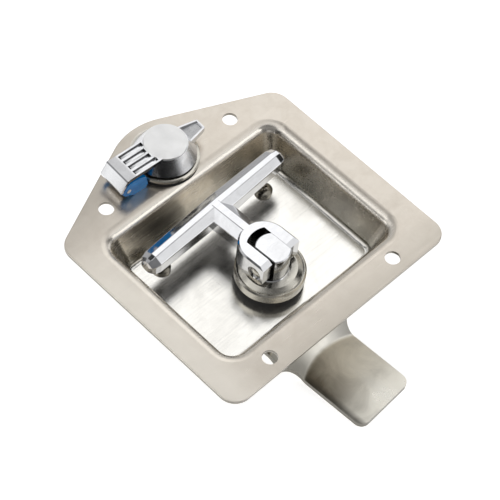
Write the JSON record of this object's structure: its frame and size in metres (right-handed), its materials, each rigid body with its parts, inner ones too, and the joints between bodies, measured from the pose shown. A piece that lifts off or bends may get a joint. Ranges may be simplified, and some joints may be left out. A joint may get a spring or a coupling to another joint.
{
  "type": "recessed folding T-handle cam lock",
  "caption": "Recessed stainless dish with a folding chrome T-handle that turns a cranked rear blade, and a separate key cylinder under a flip-up cap.",
  "frame": {"origin": "centre of the four mounting holes, on the flange's front face", "axes": "+Z out of the front face, +Y from the handle towards the key cylinder, +X across the dish to the right seen from the front"},
  "size_m": [0.1228, 0.1512, 0.0531],
  "materials": {
    "dish": "satin pressed stainless sheet",
    "collar": "satin plated, turned",
    "collar_gasket": "matt black rubber",
    "backing_plate": "zinc plated steel plate",
    "backing_screws": "bright zinc plated screw",
    "backing_washers": "zinc plated washer",
    "backing_nuts": "zinc plated nut",
    "sleeve_nut": "zinc plated nut",
    "spindle": "bright chrome plate",
    "spindle_seal": "black rubber ring",
    "thrust_washer": "plain brass washer",
    "cam_blade": "plated pressed steel, blanked edges",
    "cam_washer": "zinc plated washer",
    "cam_nut": "zinc plated nut",
    "handle": "polished chrome on die casting",
    "handle_pin": "ground steel pin",
    "lock_housing": "satin plated, turned",
    "lock_gasket": "matt black rubber",
    "lock_nut": "zinc plated nut",
    "key_plug": "machined brass with satin nickel face",
    "lock_cam": "zinc plated lever",
    "lock_cam_washer": "zinc plated washer",
    "lock_cam_screw": "zinc plated screw",
    "hinge_bracket": "moulded blue plastic",
    "cap_hinge_pin": "ground steel pin",
    "weather_cap": "polished chrome on die casting",
    "cap_disc": "fine satin face",
    "cap_seal": "black rubber disc"
  },
  "bodies": {
    "housing": {"dish": "dish", "collar": "collar", "collar_gasket": "collar_gasket", "backing_plate": "backing_plate", "backing_screws": "backing_screws", "backing_washers": "backing_washers", "backing_nuts": "backing_nuts", "sleeve_nut": "sleeve_nut", "lock_housing": "lock_housing", "lock_gasket": "lock_gasket", "lock_nut": "lock_nut", "hinge_bracket": "hinge_bracket", "cap_hinge_pin": "cap_hinge_pin"},
    "spindle_group": {"spindle": "spindle", "spindle_seal": "spindle_seal", "thrust_washer": "thrust_washer", "cam_blade": "cam_blade", "cam_washer": "cam_washer", "cam_nut": "cam_nut"},
    "handle_group": {"handle": "handle", "handle_pin": "handle_pin"},
    "cap_group": {"weather_cap": "weather_cap", "cap_disc": "cap_disc", "cap_seal": "cap_seal"},
    "plug_group": {"key_plug": "key_plug", "lock_cam": "lock_cam", "lock_cam_washer": "lock_cam_washer", "lock_cam_screw": "lock_cam_screw"}
  },
  "joints": [
    {"name": "spindle_turn", "type": "hinge", "parent": "housing", "child": "spindle_group", "pos_m": [0, -0.0134, 0], "axis": [0, 0, 1], "range_deg": [0, 90]},
    {"name": "handle_fold", "type": "hinge", "parent": "spindle_group", "child": "handle_group", "pos_m": [0, -0.0134, -0.0028], "axis": [0.9984, 0.0558, 0], "range_deg": [0, 90]},
    {"name": "cap_flip", "type": "hinge", "parent": "housing", "child": "cap_group", "pos_m": [-0.02437, 0.05148, 0.0048], "axis": [-0.0523, -0.9986, 0], "range_deg": [0, 100]},
    {"name": "key_turn", "type": "hinge", "parent": "housing", "child": "plug_group", "pos_m": [0, 0.0502, 0], "axis": [0, 0, 1], "range_deg": [-90, 0]}
  ],
  "couplings": [
    {"joint": "handle_fold", "follows": "spindle_turn", "ratio": 1}
  ]
}
